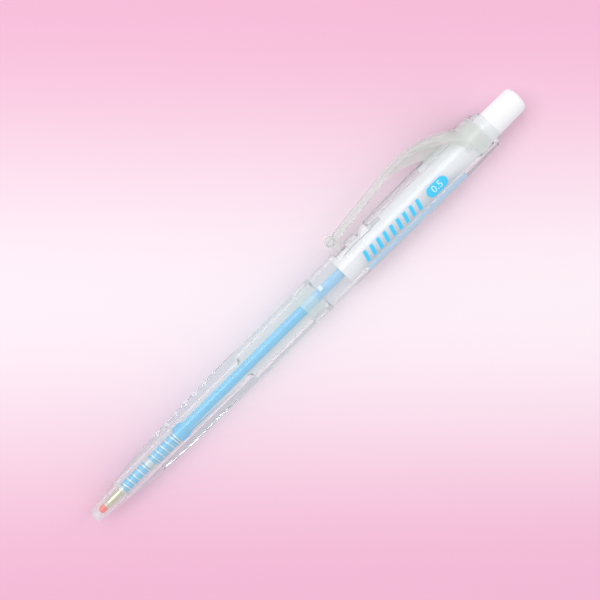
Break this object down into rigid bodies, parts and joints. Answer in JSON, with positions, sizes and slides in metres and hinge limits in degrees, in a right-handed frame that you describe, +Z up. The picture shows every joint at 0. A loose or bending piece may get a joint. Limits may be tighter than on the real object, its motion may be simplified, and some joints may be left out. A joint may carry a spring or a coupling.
{
  "type": "retractable ballpoint pen",
  "caption": "Clear retractable ballpoint pen with a white push button, a spring and a clip that releases the button, lying on a table.",
  "frame": {"origin": "on the table top, under the middle of the pen's box as it lies", "axes": "+X along the pen towards the push button, +Y towards the clip, +Z up from the table"},
  "size_m": [0.145, 0.0159, 0.011],
  "materials": {
    "clear_plastic": "clear polished moulding",
    "white_plastic": "smooth moulding",
    "blue_tube": "translucent extrusion",
    "blue_ink": "wet",
    "grease": "wet",
    "tip_metal": "turned, bright",
    "ball_metal": "polished",
    "red_wax": "waxy",
    "spring_steel": "drawn wire"
  },
  "bodies": {
    "barrel": {"lower_barrel": "clear_plastic", "upper_barrel": "clear_plastic", "return_spring": "spring_steel"},
    "plunger": {"plunger": "white_plastic", "latch_tongue": "white_plastic", "refill_tube": "blue_tube", "ink_column": "blue_ink", "ink_follower": "grease", "tip_body": "tip_metal", "tip_ball": "ball_metal", "wax_seal": "red_wax"},
    "clip": {"clip": "clear_plastic"}
  },
  "joints": [
    {"name": "plunger_slide", "type": "slide", "parent": "barrel", "child": "plunger", "axis": [1, 0, 0], "range_m": [-0.0072, 0], "stiffness_N_per_m": 350, "springref_m": 0.004, "deforming": ["return_spring", "latch_tongue"]},
    {"name": "clip_press", "type": "hinge", "parent": "barrel", "child": "clip", "pos_m": [0.0576, -0.00255, 0.0055], "axis": [0, 0.0129, 0.9999], "range_deg": [-2.5, 1.1], "stiffness_Nm_per_rad": 5}
  ]
}
